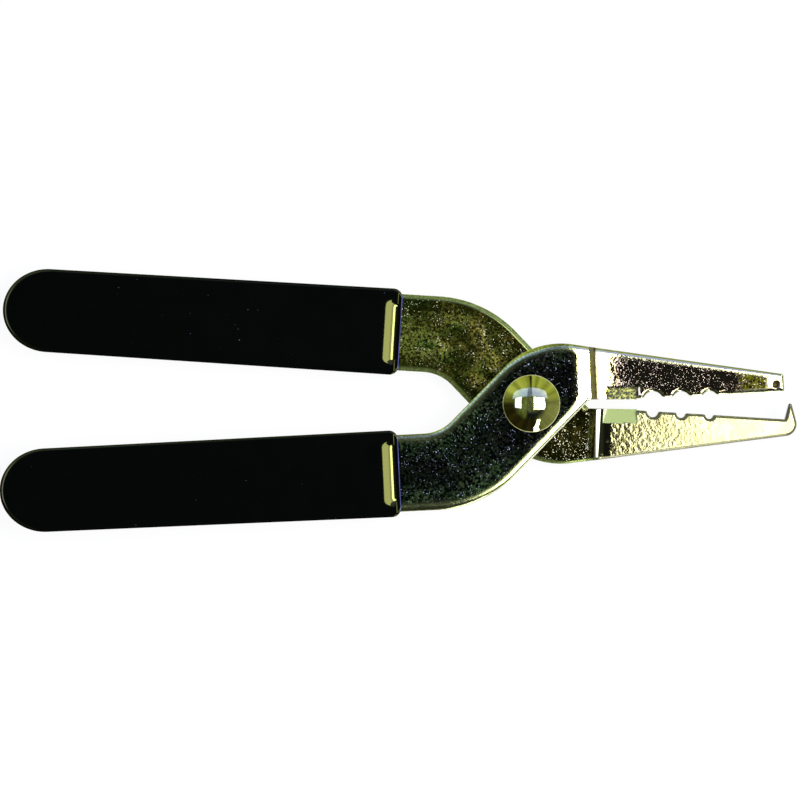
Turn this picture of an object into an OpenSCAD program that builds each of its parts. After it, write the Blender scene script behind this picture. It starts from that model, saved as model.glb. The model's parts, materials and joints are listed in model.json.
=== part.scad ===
// Fishing pliers: two stamped steel arms crossing on one domed rivet, with a line cutter,
// crimping notches and a split-ring hook at the jaws, and dipped vinyl grips on the handles.
// Millimetres. The pivot axis is +Z through the origin, the jaws point along +X, and Z = 0 is
// the flat foot of the rivet, on which the tool lies.
//
// Each arm is drawn by itself with the jaws shut: its jaw above the tool's centre line, its
// handle below it, and its own Z = 0 on the plane where the two arms meet.

/* [Plate] */
// Thickness of the stamped steel plate
plate_t = 2.5; // [1.8:0.1:3.2]
// Running gap between the two arms where they cross
arm_gap = 0.05; // [0.02:0.01:0.15]

/* [Handles] */
// Width of the steel handle
handle_w = 13.5; // [11:0.1:15]
// Centre line of the tool to the centre line of a handle, jaws shut
handle_offset = 11.15; // [10:0.05:13]
// Pivot to the butt end of the steel
handle_len = 93.15; // [75:0.05:110]
// Radius inside the bend from the handle to the shank
bend_in_r = 7.5; // [4:0.1:10]
// Radius outside the bend from the handle to the shank
bend_out_r = 20.3; // [14:0.1:23]

/* [Pivot shank] */
// Slope of the shank that crosses the pivot
shank_angle = 43; // [40:0.5:48]
// Pivot to the shank's edge on the handle side
shank_outer = 7.85; // [7:0.05:9]
// Pivot to the shank's edge on the jaw side
shank_inner = 6.85; // [6.2:0.05:7.3]
// Radius of the shoulder between the shank and the back of the jaw
shoulder_r = 14; // [9:0.1:16]

/* [Jaws] */
// Pivot to the start of the jog that brings both jaws into one plane
jog_x = 10.8; // [10.5:0.05:11.5]
// Length of the jog's slope
jog_len = 1.2; // [0.8:0.05:1.8]
// Radius on the outside of the jog's two bends
jog_r = 1.5; // [0.5:0.1:2]
// Height of the jaw's back edge above the bite, at the end of the jog
jaw_root_h = 9.25; // [8.5:0.05:10]
// Slope of the jaw's back edge
jaw_taper = 10.7; // [8:0.1:11.5]
// Pivot to the end of the plain jaw
jaw_len = 44.6; // [40:0.05:48]
// Diameter of the dimple struck near the end of the plain jaw
dimple_d = 1.5; // [0.8:0.05:1.8]
// Depth of the dimple
dimple_depth = 0.25; // [0.1:0.05:0.4]
// End of the plain jaw to the dimple
dimple_inset = 1.4; // [1.1:0.05:3]
// Bite to the dimple
dimple_h = 1.25; // [1:0.05:1.5]
// Clearance left between the jaws when they are shut
bite_gap = 0.1; // [0.04:0.02:0.3]

/* [Line cutter] */
// Pivot to the inner end of the blade
cutter_x = 13.6; // [13:0.05:14.5]
// Length of the blade
cutter_len = 5.15; // [4:0.05:5.8]
// How far the blade's outer end passes the bite line
cutter_overlap = 0.2; // [0.05:0.01:0.4]
// Slope of the cutting edge
cutter_rake = 2.6; // [1.5:0.1:3]
// Height of the relief beside the blade
cutter_relief_h = 2; // [1.2:0.05:2.6]
// Height of the ground bevel
cutter_bevel_h = 2.6; // [1.5:0.05:3.2]
// Run-out of the bevel's inner end, where the grinding wheel leaves the plate
cutter_run = 0.8; // [0.4:0.05:0.95]
// Thickness of the edge left by the bevel
cutter_edge_t = 0.2; // [0.1:0.02:0.5]
// Clearance between the faces of the two passing blades
cutter_clear = 0.06; // [0.02:0.01:0.12]
// Clearance past the end of the other blade
cutter_end_clear = 0.2; // [0.15:0.05:0.5]

/* [Crimping notches] */
// Pivot to the first notch
notch_x = 21.5; // [21.4:0.05:23]
// Distance from one notch to the next
notch_pitch = 5; // [4.6:0.05:6]
// Radii of the wide notches in the plain jaw
anvil_r = [1.75, 1.6, 1.35]; // [0.8:0.05:2]
// Depths of the wide notches in the plain jaw
anvil_depth = [1.1, 0.85, 0.7]; // [0.3:0.05:1.3]
// Radius that rounds the mouths of the wide notches
anvil_mouth_r = 0.8; // [0.3:0.05:1]
// Radii of the narrow notches in the hooked jaw
crimp_r = [1, 0.8, 0.7]; // [0.5:0.05:1.4]
// Depths of the narrow notches in the hooked jaw
crimp_depth = [1.05, 0.88, 0.76]; // [0.3:0.05:1.3]
// Radius that rounds the mouths of the narrow notches
crimp_mouth_r = 0.35; // [0.2:0.05:0.6]

/* [Split-ring hook] */
// Clearance between the end of the plain jaw and the hook
hook_clear = 0.3; // [0.2:0.05:0.6]
// How far the hook's tooth rises past the bite line
hook_rise = 2.8; // [1.5:0.05:3.2]
// Lean of the tooth's inner face
hook_lean = 11; // [5:0.5:18]
// Radius of the tooth's point
hook_point_r = 0.28; // [0.15:0.01:0.4]
// Radius of the heel behind the tooth
hook_heel_r = 2.1; // [1.6:0.05:2.3]
// Thickness of the hook from its inner face at the bite to the end of the heel
hook_t = 2.1; // [1.9:0.05:3]

/* [Pivot rivet] */
// Diameter of the domed head
head_d = 10.1; // [8.5:0.1:12]
// Height of the domed head
head_h = 2.6; // [1.5:0.1:4]
// Height of the straight rim under the dome
head_rim = 0.25; // [0.1:0.05:0.6]
// Diameter of the shank on which the arms turn
shank_d = 6; // [4.8:0.1:7]
// Radial running clearance of the arms on the shank
shank_clear = 0.05; // [0.02:0.01:0.1]
// Diameter of the tenon that is peened over the washer
tenon_d = 4; // [3:0.1:4.5]
// Radial clearance of the washer on the tenon
tenon_clear = 0.05; // [0.02:0.01:0.15]
// Diameter of the peened tail
tail_d = 7; // [5.6:0.1:8]
// Height of the peened tail
tail_h = 0.9; // [0.6:0.05:1.5]
// Radius that rounds the peened tail
tail_round = 0.5; // [0.2:0.05:0.8]
// Diameter of the washer under the tail
washer_d = 10; // [8.6:0.1:12]
// Thickness of the washer under the tail
washer_t = 0.8; // [0.5:0.05:1.2]

/* [Grips] */
// Thickness of the vinyl over the steel
grip_wall = 0.75; // [0.5:0.05:1.2]
// Pivot to the open end of the grip
grip_x = 23.7; // [22:0.05:30]
// Radius of the grip's long edges
grip_edge_r = 1.6; // [0.6:0.05:1.7]
// Length over which the grip thins towards its open end
grip_lip = 3.2; // [1.5:0.1:5]
// Thickness of the vinyl at its open end
grip_lip_t = 0.15; // [0.1:0.05:0.4]
// Radius of the grip's corners at its open end
grip_corner_r = 1.6; // [0.6:0.05:2.5]

/* [Pose] */
// Angle between the jaws as the tool lies at rest
rest_angle = 6.2; // [0:0.1:20]

/* [Hidden] */
$fn = 64;
steel = "#b9b79a";
rivet_metal = "#c9c28f";
vinyl = "#0b0c0c";

// Slack that takes a cutting solid past the faces it cuts
past = 1;
// Overlap of a round corner with the edges that it touches, and how far round it may be needed
weld = 0.005;
weld_angle = 12;
// Heights, from the foot of the rivet up
rear_arm_z = tail_h + washer_t + arm_gap;
meet_z = rear_arm_z + plate_t + arm_gap / 2;
head_z = meet_z + arm_gap / 2 + plate_t;
// An arm's own heights, from the plane where the arms meet
arm_z = arm_gap / 2;
jaw_z = -plate_t / 2;

// Straight edges of an arm, each a point and a slope
handle_top = [0, handle_w / 2 - handle_offset];
handle_low = [0, -handle_w / 2 - handle_offset];
shank_top = normal(shank_angle) * shank_outer;
shank_low = -normal(shank_angle) * shank_inner;
jog_end = jog_x + jog_len;
jaw_back = [jog_end, jaw_root_h];
bite = bite_gap / 2;

// Round corners between those edges: each centre lies one radius from both edges
bend_in = meet(handle_top + [0, bend_in_r], 0, shank_top + normal(shank_angle) * bend_in_r, shank_angle);
bend_out = meet(handle_low + [0, bend_out_r], 0, shank_low + normal(shank_angle) * bend_out_r, shank_angle);
shoulder = meet(shank_top - normal(shank_angle) * shoulder_r, shank_angle,
                jaw_back - normal(-jaw_taper) * shoulder_r, -jaw_taper);
butt = [handle_w / 2 - handle_len, -handle_offset];

// The cutting edge slopes through its outer end, and meets the shank at the throat
cutter_end = [cutter_x + cutter_len, bite - cutter_overlap];
throat = meet(shank_low, shank_angle, cutter_end, -cutter_rake);

// The tooth of the hook: a round point and a round heel, joined by a straight flank
hook_root = [jaw_len + hook_clear, bite];
hook_point = hook_root + [0, -hook_rise + hook_point_r - bite]
    + [(hook_rise - hook_point_r) * tan(hook_lean) + hook_point_r / cos(hook_lean), 0];
hook_end = hook_root[0] + hook_t;
hook_heel = [hook_end - hook_heel_r,
             back_at(hook_end - hook_heel_r) - hook_heel_r / cos(jaw_taper)];
flank = tangent_slope(hook_heel, hook_heel_r, hook_point, hook_point_r);

function direction(a) = [cos(a), sin(a)];
function normal(a) = [-sin(a), cos(a)];
// Where the line through p at slope a meets the line through q at slope b
function meet(p, a, q, b) = p + direction(a) * cross(q - p, direction(b)) / cross(direction(a), direction(b));
// Height of the jaw's back edge at x
function back_at(x) = jaw_back[1] - (x - jaw_back[0]) * tan(jaw_taper);
// Direction of the outward normal at which one straight line touches both circles
function tangent_slope(p, pr, q, qr) = atan2(q[1] - p[1], q[0] - p[0]) + acos((pr - qr) / norm(q - p));

// The part of a disc that rounds a corner between the tangent points at angles a and b. It is a
// weld larger than its radius, so that it crosses both edges just past those points.
module round_corner(centre, r, a, b) {
    low = direction(a - weld_angle);
    middle = direction((a + b) / 2);
    high = direction(b + weld_angle);
    inside = middle * (r * cos((b - a) / 2) - r / 4);
    translate(centre) intersection() {
        circle(r = r + weld);
        polygon([inside, low * r, low * 2 * r, middle * 3 * r, high * 2 * r, high * r]);
    }
}

// Outline of an arm without its notches: handle, shank and a jaw that ends at tip_points
module arm_outline(tip_points) {
    difference() {
        union() {
            polygon(concat(
                [[butt[0], handle_low[1]], [bend_out[0], handle_low[1]],
                 bend_out - normal(shank_angle) * bend_out_r, throat, cutter_end,
                 [cutter_end[0], bite]],
                tip_points,
                [shoulder + normal(-jaw_taper) * shoulder_r, shoulder + normal(shank_angle) * shoulder_r,
                 bend_in - normal(shank_angle) * bend_in_r, [bend_in[0], handle_top[1]],
                 [butt[0], handle_top[1]]]));
            round_corner(bend_out, bend_out_r, -90, shank_angle - 90);
            round_corner(shoulder, shoulder_r, 90 - jaw_taper, 90 + shank_angle);
            translate(butt) circle(r = handle_w / 2 + weld);
        }
        round_corner(bend_in, bend_in_r, -90, shank_angle - 90);
    }
}

// Crimping notch cut into the bite, with a mouth rounded into it on both sides
module notch(r, depth, mouth_r) {
    centre = [0, depth - r];
    rise = mouth_r - centre[1];
    half_mouth = sqrt(pow(r + mouth_r, 2) - rise * rise);
    slope = atan2(rise, half_mouth);
    touch = centre + direction(slope) * r;
    difference() {
        union() {
            round_corner(centre, r, slope, 180 - slope);
            polygon([[-half_mouth, -past], [half_mouth, -past], [half_mouth, 0], touch,
                     [-touch[0], touch[1]], [-half_mouth, 0]]);
        }
        for (side = [-1, 1]) translate([side * half_mouth, mouth_r]) circle(r = mouth_r + weld);
    }
}

module notches(radii, depths, mouth_r) {
    for (i = [0 : len(radii) - 1])
        translate([notch_x + i * notch_pitch, bite]) notch(radii[i], depths[i], mouth_r);
}

// Side view of an arm: flat, then one jog down to the plane that both jaws share, with the
// outside of each bend rounded
module jog_profile() {
    low = -handle_len - past;
    high = hook_end + past;
    slope = atan2(arm_z - jaw_z, jog_len);
    difference() {
        polygon([[low, arm_z], [jog_x, arm_z], [jog_end, jaw_z], [high, jaw_z],
                 [high, jaw_z + plate_t], [jog_end, jaw_z + plate_t], [jog_x, arm_z + plate_t],
                 [low, arm_z + plate_t]]);
        translate([jog_x, arm_z + plate_t]) bend_corner(slope);
        translate([jog_end, jaw_z]) rotate(180) bend_corner(slope);
    }
}

// What rounding takes off the outside of a bend, from its sharp corner at the origin
module bend_corner(slope) {
    reach = jog_r * tan(slope / 2);
    difference() {
        polygon([[-reach, -jog_r], [-reach, 0], [0, 0], direction(-slope) * reach]);
        translate([-reach, -jog_r]) circle(r = jog_r + weld);
    }
}

// Relief beside the blade, open to the bite, in the half of the jaw where the other blade passes
module cutter_relief() {
    long = cutter_len + cutter_end_clear;
    translate([cutter_x, -past, -cutter_clear / 2])
        cube([long, past + cutter_relief_h, plate_t]);
}

// Ground bevel on the outer face of the blade, which runs out up a slope at its inner end
module cutter_bevel() {
    edge_z = -cutter_clear / 2 - cutter_edge_t;
    start = cutter_x - cutter_run;
    intersection() {
        translate([start, 0, 0]) rotate([90, 0, 90]) linear_extrude(cutter_len + cutter_run)
            polygon([[-past, edge_z], [-cutter_overlap, edge_z], [cutter_bevel_h, jaw_z],
                     [cutter_bevel_h, jaw_z - past], [-past, jaw_z - past]]);
        translate([0, cutter_bevel_h + past, 0]) rotate([90, 0, 0])
            linear_extrude(cutter_bevel_h + 3 * past)
                polygon([[start, jaw_z - past], [start, jaw_z], [cutter_x + cutter_run, 2 * edge_z - jaw_z],
                         [cutter_end[0] + past, 2 * edge_z - jaw_z], [cutter_end[0] + past, jaw_z - past]]);
    }
}

// Round dimple struck into the outer face of the plain jaw
module tip_dimple() {
    ball_r = (dimple_d * dimple_d / 4 + dimple_depth * dimple_depth) / (2 * dimple_depth);
    translate([jaw_len - dimple_inset, bite + dimple_h, jaw_z + plate_t + ball_r - dimple_depth])
        sphere(r = ball_r);
}

// One arm, jaws shut: the outline given as a child, jogged, bored and ground for the cutter
module arm() {
    full_h = 2 * plate_t + arm_gap;
    difference() {
        intersection() {
            translate([0, 0, -full_h]) linear_extrude(2 * full_h) children();
            translate([0, handle_len, 0]) rotate([90, 0, 0]) linear_extrude(2 * handle_len) jog_profile();
        }
        translate([0, 0, -full_h]) cylinder(r = shank_d / 2 + shank_clear, h = 2 * full_h);
        cutter_relief();
        cutter_bevel();
    }
}

// Jaw with a plain blunt end
module plain_outline() {
    difference() {
        arm_outline([[jaw_len, bite], [jaw_len, back_at(jaw_len)]]);
        notches(anvil_r, anvil_depth, anvil_mouth_r);
    }
}

// Jaw that runs out past the other one into a tooth, for opening split rings
module hooked_outline() {
    difference() {
        union() {
            arm_outline([hook_root, hook_point + direction(180 + hook_lean) * hook_point_r,
                         hook_point + direction(flank) * hook_point_r,
                         hook_heel + direction(flank) * hook_heel_r,
                         hook_heel + normal(-jaw_taper) * hook_heel_r]);
            translate(hook_point) circle(r = hook_point_r + weld);
            round_corner(hook_heel, hook_heel_r, flank, 90 - jaw_taper);
        }
        notches(crimp_r, crimp_depth, crimp_mouth_r);
    }
}

// Vinyl dipped over the handle, in an arm's own frame
module grip() {
    grip_r = handle_w / 2 + grip_wall;
    half_t = plate_t / 2 + grip_wall;
    long = butt[0] + grip_x;
    translate([butt[0], butt[1], arm_z + plate_t / 2]) difference() {
        intersection() {
            union() {
                rotate([90, 0, 90]) linear_extrude(-long) rounded_rect(2 * grip_r, 2 * half_t, grip_edge_r);
                rotate([0, 0, 90]) rotate_extrude(angle = 180) intersection() {
                    rounded_rect(2 * grip_r, 2 * half_t, grip_edge_r);
                    translate([0, -half_t]) square([grip_r, 2 * half_t]);
                }
            }
            translate([-grip_r - past, 0, -half_t - past]) linear_extrude(2 * half_t + 2 * past)
                translate([(grip_r + past - long) / 2, 0])
                    rounded_rect(grip_r + past - long, 2 * grip_r, grip_corner_r);
            translate([-long - grip_lip, grip_r + past, 0]) rotate([90, 0, 0])
                linear_extrude(2 * grip_r + 2 * past) lip_profile(half_t, grip_r + past - long);
        }
        translate([0, 0, -plate_t / 2]) cylinder(r = handle_w / 2 + weld, h = plate_t);
        translate([0, -handle_w / 2, -plate_t / 2]) cube([past - long, handle_w, plate_t]);
    }
}

// Side view of a grip with its open end thinned on both faces by the same round
module lip_profile(half_t, long) {
    thinning = grip_wall - grip_lip_t;
    lip_r = (grip_lip * grip_lip + thinning * thinning) / (2 * thinning);
    translate([-long, -half_t - past]) square([long, 2 * half_t + 2 * past]);
    intersection() {
        translate([0, half_t - lip_r]) circle(r = lip_r + weld);
        translate([0, lip_r - half_t]) circle(r = lip_r + weld);
        translate([-past, -half_t - past]) square([grip_lip + past, 2 * half_t + 2 * past]);
    }
}

module rounded_rect(w, h, r) {
    square([w - 2 * r, h], center = true);
    square([w, h - 2 * r], center = true);
    for (x = [-1, 1], y = [-1, 1]) translate([x * (w / 2 - r), y * (h / 2 - r)]) circle(r = r);
}

// Places of the two halves at rest: the rear one is turned over, so that its jaw lies below
module in_front() {
    translate([0, 0, meet_z]) rotate([0, 0, rest_angle / 2]) children();
}

module behind() {
    translate([0, 0, meet_z]) rotate([0, 0, -rest_angle / 2]) rotate([180, 0, 0]) children();
}

module front_arm() {
    color(steel) in_front() difference() {
        arm() plain_outline();
        tip_dimple();
    }
}

module rear_arm() {
    color(steel) behind() arm() hooked_outline();
}

// Domed head, turning shank, tenon through the washer, and the tail peened over it
module pivot_rivet() {
    dome_h = head_h - head_rim;
    dome_r = (head_d * head_d / 4 + dome_h * dome_h) / (2 * dome_h);
    color(rivet_metal) {
        translate([0, 0, head_z]) cylinder(d = head_d, h = head_rim);
        translate([0, 0, head_z + head_rim]) intersection() {
            translate([0, 0, dome_h - dome_r]) sphere(r = dome_r);
            cylinder(d = head_d, h = head_h);
        }
        translate([0, 0, tail_h + washer_t]) cylinder(d = shank_d, h = head_z - tail_h - washer_t);
        translate([0, 0, tail_h]) cylinder(d = tenon_d, h = washer_t);
        rotate_extrude() {
            square([tail_d / 2 - tail_round, tail_h]);
            translate([0, tail_round]) square([tail_d / 2, tail_h - tail_round]);
            translate([tail_d / 2 - tail_round, tail_round]) intersection() {
                circle(r = tail_round);
                translate([-tail_round, -tail_round]) square([2 * tail_round, tail_round]);
            }
        }
    }
}

module rivet_washer() {
    color(steel) translate([0, 0, tail_h]) difference() {
        cylinder(d = washer_d, h = washer_t);
        translate([0, 0, -past]) cylinder(r = tenon_d / 2 + tenon_clear, h = washer_t + 2 * past);
    }
}

module front_grip() {
    color(vinyl) in_front() grip();
}

module rear_grip() {
    color(vinyl) behind() grip();
}

front_arm();
rear_arm();
pivot_rivet();
rivet_washer();
front_grip();
rear_grip();
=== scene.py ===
import bpy
import bmesh
import json
import math
import numpy as np
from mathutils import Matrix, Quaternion, Vector
from mathutils.geometry import delaunay_2d_cdt
from mathutils.kdtree import KDTree


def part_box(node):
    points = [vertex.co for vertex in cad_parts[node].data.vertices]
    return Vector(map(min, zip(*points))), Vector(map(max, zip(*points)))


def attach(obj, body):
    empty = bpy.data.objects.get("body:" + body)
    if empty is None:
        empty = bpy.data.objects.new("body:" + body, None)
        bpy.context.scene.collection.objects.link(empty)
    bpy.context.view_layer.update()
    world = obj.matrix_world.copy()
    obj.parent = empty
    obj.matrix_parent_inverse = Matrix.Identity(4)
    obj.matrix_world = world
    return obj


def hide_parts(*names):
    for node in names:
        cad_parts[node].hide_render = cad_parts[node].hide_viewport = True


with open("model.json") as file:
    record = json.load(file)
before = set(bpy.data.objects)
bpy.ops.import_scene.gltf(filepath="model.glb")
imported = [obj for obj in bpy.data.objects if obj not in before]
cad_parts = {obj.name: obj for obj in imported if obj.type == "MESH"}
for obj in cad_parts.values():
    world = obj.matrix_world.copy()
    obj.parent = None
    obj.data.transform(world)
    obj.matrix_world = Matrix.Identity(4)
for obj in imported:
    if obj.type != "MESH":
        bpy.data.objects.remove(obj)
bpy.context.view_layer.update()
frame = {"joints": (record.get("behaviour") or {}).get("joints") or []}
scene = bpy.context.scene
scene.view_settings.view_transform = "Standard"

mm = 0.001
tiny = 1e-4                               # in mm, for points that should fall together
pivot = frame["joints"][0]
meetZ = pivot["pos_m"][2] / mm            # height of the plane where the two arms meet
halfOpen = -pivot["range_deg"][0] / 2     # each half is turned this far from jaws shut
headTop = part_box("pivot_rivet")[1].z / mm


# small helpers for points in an arm's own plane, angles in degrees

def along(angle):
    turn = math.radians(angle)
    return np.array([math.cos(turn), math.sin(turn)])


def across(angle):
    return along(angle + 90)


def crossing(p, a, q, b):
    d, e = along(a), along(b)
    gap = np.subtract(q, p)
    return np.array(p) + d * (gap[0] * e[1] - gap[1] * e[0]) / (d[0] * e[1] - d[1] * e[0])


def intoFrame(points, rear):
    # own frame of an arm, in mm, to the tool's frame at rest, in metres
    x, y, z = np.asarray(points, float).T
    if rear:
        y, z = -y, -z
    turn = math.radians(-halfOpen if rear else halfOpen)
    turned = [x * math.cos(turn) - y * math.sin(turn), x * math.sin(turn) + y * math.cos(turn), z + meetZ]
    return np.array(turned).T * mm


def addPiece(name, points, faces, material, sharpAngle=38):
    mesh = bpy.data.meshes.new(name)
    mesh.from_pydata([tuple(p) for p in points], [], [tuple(f) for f in faces])
    shell = bmesh.new()
    shell.from_mesh(mesh)
    bmesh.ops.recalc_face_normals(shell, faces=shell.faces)
    shell.to_mesh(mesh)
    shell.free()
    mesh.polygons.foreach_set("use_smooth", [True] * len(mesh.polygons))
    mesh.set_sharp_from_angle(angle=math.radians(sharpAngle))
    mesh.materials.append(material)
    piece = bpy.data.objects.new(name, mesh)
    scene.collection.objects.link(piece)
    return piece


def markPoints(piece, name, values):
    marks = piece.data.attributes.new(name, "FLOAT", "POINT")
    marks.data.foreach_set("value", np.asarray(values, np.float32))


# node building

class Nodes:
    # makes nodes in one tree; a value is a number, a colour or another node's socket
    def __init__(self, tree):
        self.tree = tree

    def join(self, value, node, name):
        if isinstance(value, bpy.types.NodeSocket):
            self.tree.links.new(value, node.inputs[name])
        else:
            node.inputs[name].default_value = value

    def put(self, kind, inputs=None, **settings):
        made = self.tree.nodes.new(kind)
        for name, value in settings.items():
            setattr(made, name, value)
        for name, value in (inputs or {}).items():
            self.join(value, made, name)
        return made

    def math(self, operation, a, b=0.0, clamp=False):
        return self.put("ShaderNodeMath", {0: a, 1: b}, operation=operation, use_clamp=clamp).outputs[0]

    def times(self, a, b):
        return self.math("MULTIPLY", a, b)

    def plus(self, a, b, clamp=False):
        return self.math("ADD", a, b, clamp)

    def less(self, a, b):
        return self.math("SUBTRACT", a, b)

    def most(self, a, b):
        return self.math("MAXIMUM", a, b)

    def colour(self, share, a, b):
        return self.put("ShaderNodeMix", {0: share, 6: a, 7: b}, data_type="RGBA").outputs[2]

    def blend(self, share, a, b):
        return self.put("ShaderNodeMix", {0: share, 2: a, 3: b}, data_type="FLOAT").outputs[0]

    def ramp(self, value, low, high):
        made = self.put("ShaderNodeMapRange", {"Value": value, "From Min": low, "From Max": high},
                        interpolation_type="SMOOTHSTEP")
        return made.outputs["Result"]

    def noise(self, vector, scale, detail, roughness=0.5):
        made = self.put("ShaderNodeTexNoise", {
            "Vector": vector, "Scale": scale, "Detail": detail, "Roughness": roughness})
        return made.outputs["Fac"]

    def sway(self, value, amount):
        # noise from 0 to 1, made to swing round zero
        return self.times(self.less(value, 0.5), amount)

    def split(self, vector):
        return self.put("ShaderNodeSeparateXYZ", {0: vector}).outputs

    def group(self, tree, inputs):
        return self.put("ShaderNodeGroup", inputs, node_tree=tree).outputs


def newGroup(name, kind, inputs, outputs):
    tree = bpy.data.node_groups.new(name, kind)
    for label, (socketType, value) in inputs.items():
        socket = tree.interface.new_socket(label, in_out="INPUT", socket_type=socketType)
        if value is not None:
            socket.default_value = value
    for label, socketType in outputs.items():
        tree.interface.new_socket(label, in_out="OUTPUT", socket_type=socketType)
    n = Nodes(tree)
    return n, n.put("NodeGroupInput").outputs, n.put("NodeGroupOutput")


# shader groups shared by the materials; pairs are where a mask starts and where it is full

grainShape = dict(detail=3.0, pebbleDetail=1.5, roughness=0.6, hueFiner=1.9,
                  grain=(0.38, 0.65), shade=(0.38, 0.62), hue=(0.40, 0.60))
speckShape = dict(detail=1.0, clusterDetail=2.0, clusterScale=0.13, edge=0.06)


def buildGrain():
    # pebbled plating: heights for bump, a crisp grain mask and two broad masks for shade and hue
    shape = grainShape
    n, given, out = newGroup("platingGrain", "ShaderNodeTree", {
        "Vector": ("NodeSocketVector", None),
        "Grain Scale": ("NodeSocketFloat", 3000.0),
        "Pebble Scale": ("NodeSocketFloat", 1500.0),
        "Mottle Scale": ("NodeSocketFloat", 200.0),
    }, {name: "NodeSocketFloat" for name in ("Height", "Pebble", "Grain", "Shade", "Hue")})

    def layer(scale, detail):
        return n.noise(given["Vector"], scale, detail, shape["roughness"])

    fine = layer(given["Grain Scale"], shape["detail"])
    shade = layer(given["Mottle Scale"], shape["detail"])
    hue = layer(n.times(given["Mottle Scale"], shape["hueFiner"]), shape["detail"])
    results = {
        "Height": fine,
        "Pebble": layer(given["Pebble Scale"], shape["pebbleDetail"]),
        "Grain": n.ramp(fine, *shape["grain"]),
        "Shade": n.ramp(shade, *shape["shade"]),
        "Hue": n.ramp(hue, *shape["hue"]),
    }
    for name, value in results.items():
        n.join(value, out, name)
    return n.tree


def buildSpecks():
    # small ragged specks that gather in loose clusters, such as pits and dust: 1 in a speck
    shape = speckShape
    n, given, out = newGroup("raggedSpecks", "ShaderNodeTree", {
        "Vector": ("NodeSocketVector", None),
        "Speck Scale": ("NodeSocketFloat", 4000.0),
        "Threshold": ("NodeSocketFloat", 0.7),
        "Cluster": ("NodeSocketFloat", 0.3),
    }, {"Mask": "NodeSocketFloat"})
    fine = n.noise(given["Vector"], given["Speck Scale"], shape["detail"])
    clusterScale = n.times(given["Speck Scale"], shape["clusterScale"])
    broad = n.noise(given["Vector"], clusterScale, shape["clusterDetail"])
    value = n.plus(fine, n.sway(broad, given["Cluster"]))
    end = n.plus(given["Threshold"], shape["edge"])
    n.join(n.ramp(value, given["Threshold"], end), out, "Mask")
    return n.tree


grainGroup = buildGrain()
speckGroup = buildSpecks()


def startMaterial(name):
    material = bpy.data.materials.new(name)
    material.use_nodes = True
    n = Nodes(material.node_tree)
    surface = n.tree.nodes["Principled BSDF"]
    return material, n, surface, n.put("ShaderNodeTexCoord").outputs["Object"]


def bumpSurface(n, surface, height, distance):
    bump = n.put("ShaderNodeBump", {"Strength": 1.0, "Distance": distance * mm, "Height": height})
    n.join(bump.outputs["Normal"], surface, "Normal")


# the arms' plating: lengths in mm, zones and knots along x from the pivot; haze is how much of the
# plating has gone from mirror to dull

never = (200, 201)
frontLook = dict(
    grainScale=2300, pebbleScale=1900, mottleScale=140, bump=0.005,
    pebbleHeight=((11.4, 1.0), (12, 6.0), (14, 6.0), (20, 2.6), (28, 2.6), (34, 1.4)),
    darkTint=(0.03, 0.045, 0.03, 1), darkTint2=(0.045, 0.04, 0.036, 1),
    lightTint=(0.40, 0.80, 0.24, 1), lightTint2=(0.64, 0.68, 0.44, 1),
    hue=(-10, 10), hueShare=0.35, hueLift=0.35,
    # painted shade and light from the edge inwards: lighter at the edges, darker inside
    paintedShadeDepth=(0.9, 5.6), shadeLow=0.1, paintedShadeAtEdge=1.0, paintedShadeInside=0.16,
    hazeLow=0.0, haze=0.13, roughLow=0.03, roughHigh=0.05,
    neck=(-9, 1), neckPaintedShade=0.6, neckHaze=0.55,
    jaw=(7.0, 8.6), pastJog=(13, 15), jogTint=(0.85, 0.83, 0.34, 1),
    jawTint=(0.38, 0.27, 0.17, 1), jawTint2=(0.42, 0.35, 0.19, 1), jawHaze=0.012, jawRough=((12, 0.03),),
    tipWear=(34.5, 38.5), tipBright=(41.2, 42.0), wearRagged=1.8, wearEdge=(0.3, 0.75),
    tipDark=(0.01, 0.006, 0.0005, 1), tipTint=(0.20, 0.20, 0.012, 1), tipHaze=0.7,
    speckScale=4800, speckCluster=0.3, speckHaze=0.4, speckRough=0.35,
    speckLimit=((9, 0.705), (12, 0.8), (12.5, 0.8), (14, 0.585), (20, 0.65), (36, 0.665)),
    speckTint=(0.40, 0.45, 0.66, 1), jawSpeckTint=(0.80, 0.66, 0.54, 1),
    rim=(0.35, 0.95), rimRagged=1.0, rimSpecks=0.2, rimHaze=0.0, rimRough=0.17,
    rimDark=(0.44, 0.50, 0.22, 1), rimTint=(0.86, 0.94, 0.44, 1), jawRimTint=(0.70, 0.72, 0.44, 1),
    groundTint=(0.39, 0.48, 0.16, 1), groundHaze=0.8, groundRough=0.45,
    pocketDark=(0.02, 0.024, 0.0, 1), pocketTint=(0.66, 0.68, 0.13, 1), pocketHaze=1.0, gritPower=2.0,
    paintedHollowShadeTint=(0.04, 0.03, 0.003, 1), paintedHollowShadeHaze=0.2, paintedGlintTint=(0.78, 0.78, 0.60, 1), paintedGlintHaze=0.9)
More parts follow.
